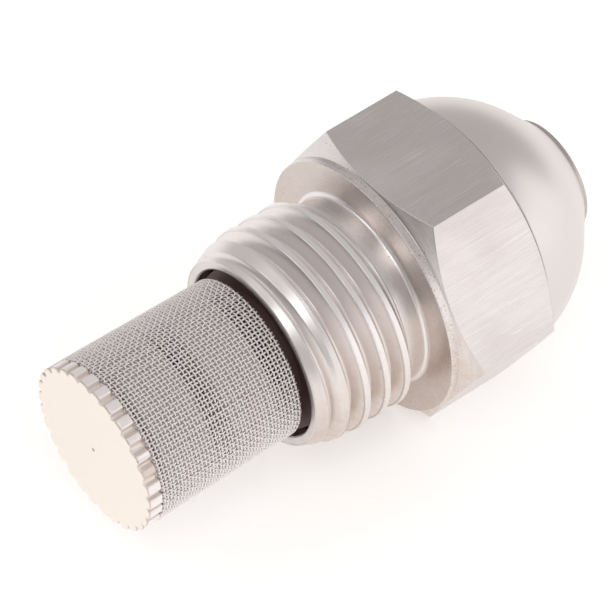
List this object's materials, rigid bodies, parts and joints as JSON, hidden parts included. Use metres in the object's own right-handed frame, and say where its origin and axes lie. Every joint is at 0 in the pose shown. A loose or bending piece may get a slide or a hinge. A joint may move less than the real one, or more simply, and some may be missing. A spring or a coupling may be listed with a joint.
{
  "type": "oil burner nozzle",
  "caption": "Pressure-jet oil burner nozzle: hexagon body with a domed tip and male thread, swirl parts inside, and a screw-in mesh strainer.",
  "frame": {"origin": "on the nozzle's axis, at the middle of the overall length", "axes": "+X along the axis, towards the spray orifice; +Z out of the upper hexagon flat, so the part lies on the opposite flat; +Y towards a hexagon corner"},
  "size_m": [0.0344, 0.0196, 0.017],
  "materials": {
    "body_steel": "turned, satin",
    "insert_steel": "ground",
    "brass": "machined",
    "dark_steel": "blackened",
    "copper": "annealed copper, dull",
    "sleeve_metal": "smooth",
    "mesh_wire": "bright drawn wire, woven",
    "cap_metal": "matt face, bright knurl"
  },
  "bodies": {
    "nozzle": {"nozzle_body": "body_steel", "orifice_insert": "insert_steel"},
    "washer": {"sealing_washer": "copper"},
    "strainer": {"strainer_adapter": "dark_steel", "core_tube": "dark_steel", "rear_support_sleeve": "sleeve_metal", "front_support_sleeve": "sleeve_metal", "mesh_screen": "mesh_wire", "knurled_end_cap": "cap_metal"},
    "distributor": {"swirl_distributor": "insert_steel"},
    "lock": {"lock_screw": "brass"}
  },
  "joints": [
    {"name": "strainer_travel", "type": "slide", "parent": "nozzle", "child": "washer", "axis": [-1, 0, 0], "range_m": [0, 0.003]},
    {"name": "strainer_turn", "type": "hinge", "parent": "washer", "child": "strainer", "pos_m": [-0.00282, 0, 0], "axis": [-1, 0, 0], "range_deg": [0, 1440]},
    {"name": "distributor_travel", "type": "slide", "parent": "nozzle", "child": "distributor", "axis": [-1, 0, 0], "range_m": [0, 0.00225]},
    {"name": "lock_screw_turn", "type": "hinge", "parent": "distributor", "child": "lock", "pos_m": [0.00698, 0, 0], "axis": [-1, 0, 0], "range_deg": [0, 1080]}
  ],
  "couplings": [
    {"joint": "strainer_turn", "follows": "strainer_travel", "rad_per_m": 8377.6},
    {"joint": "lock_screw_turn", "follows": "distributor_travel", "rad_per_m": 8377.6}
  ]
}
